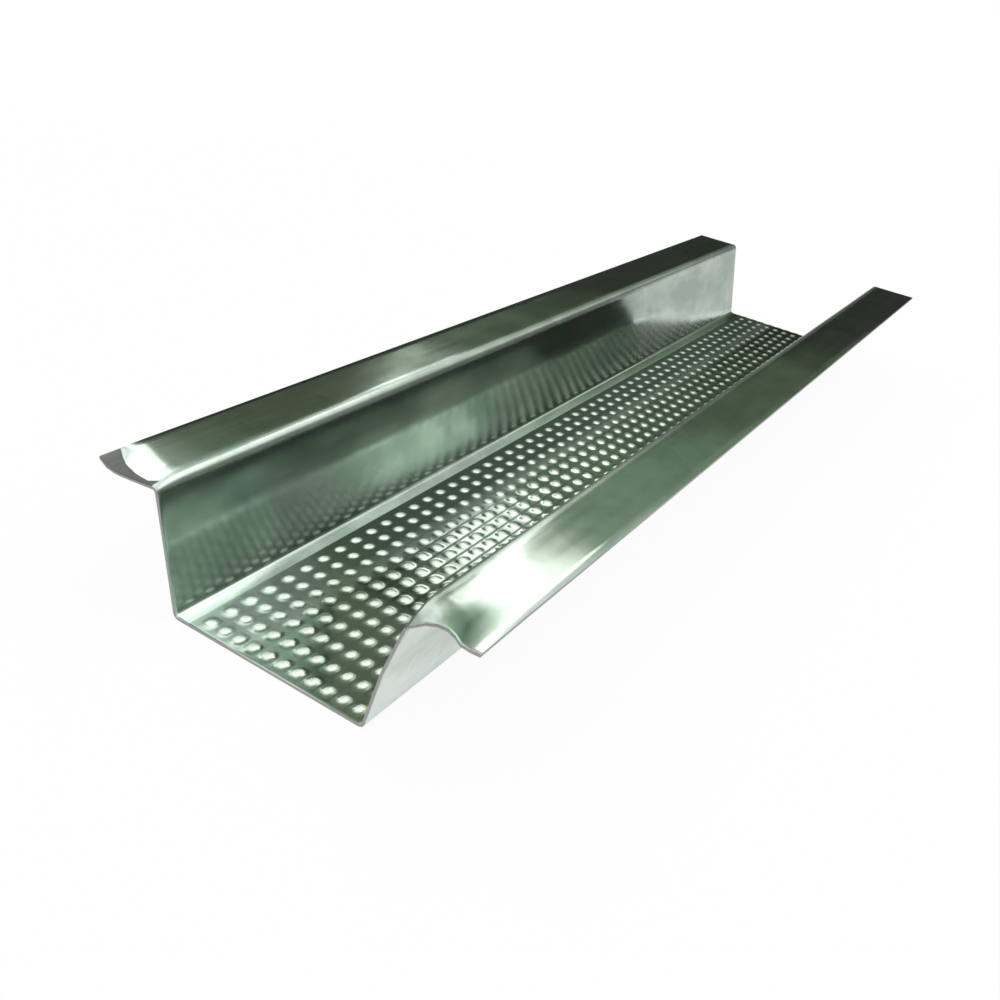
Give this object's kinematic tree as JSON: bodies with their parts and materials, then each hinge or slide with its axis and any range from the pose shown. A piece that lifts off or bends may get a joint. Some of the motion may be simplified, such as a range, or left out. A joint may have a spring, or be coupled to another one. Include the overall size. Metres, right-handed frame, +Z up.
{
  "type": "ceiling furring channel",
  "caption": "Short cut length of galvanised steel furring channel: a thin hat section with a knurled flat web, outward-leaning walls and flat lips, for carrying ceiling boards.",
  "frame": {"origin": "middle of the length, on the underside of the web, centred across the section", "axes": "+X across the section, +Y along the channel, +Z up out of the open trough"},
  "size_m": [0.068, 0.234, 0.0215],
  "materials": {
    "galvanised_steel": "bright hot-dip galvanised sheet, faintly streaked along its length, with a knurled web"
  },
  "bodies": {
    "root": {"furring_channel": "galvanised_steel"}
  },
  "joints": []
}
